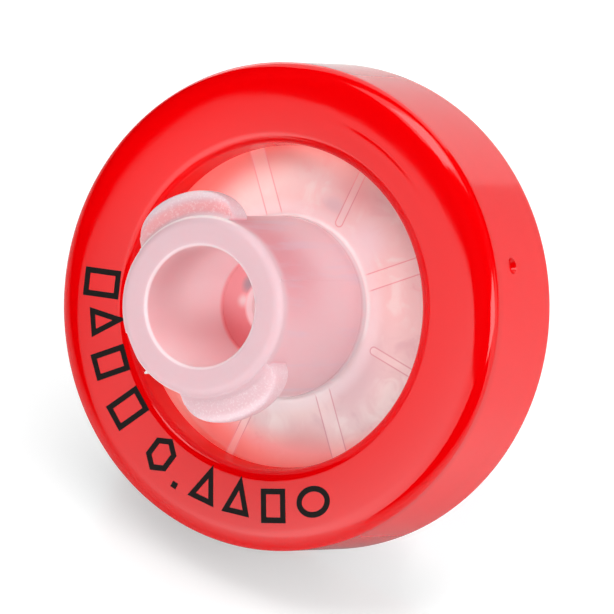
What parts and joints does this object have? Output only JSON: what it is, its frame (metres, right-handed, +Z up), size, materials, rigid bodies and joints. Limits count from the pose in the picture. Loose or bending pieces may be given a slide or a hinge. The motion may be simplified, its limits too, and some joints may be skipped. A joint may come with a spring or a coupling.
{
  "type": "syringe filter",
  "caption": "Disc syringe filter: translucent housing with a female luer lock inlet and a male luer slip outlet, its rim overmoulded with a coloured ring.",
  "frame": {"origin": "on the bench, under the middle of the filter as it lies on its ring and its outlet tip", "axes": "+Z up from the bench, -Y the way the inlet points, and X across the ring"},
  "size_m": [0.017, 0.0176, 0.0159],
  "materials": {
    "ring_polypropylene": "glossy moulded",
    "natural_polypropylene": "translucent moulded",
    "membrane_sheet": "matt porous sheet"
  },
  "bodies": {
    "root": {"overmould_ring": "ring_polypropylene", "inlet_housing": "natural_polypropylene", "membrane": "membrane_sheet", "outlet_housing": "natural_polypropylene"}
  },
  "joints": []
}
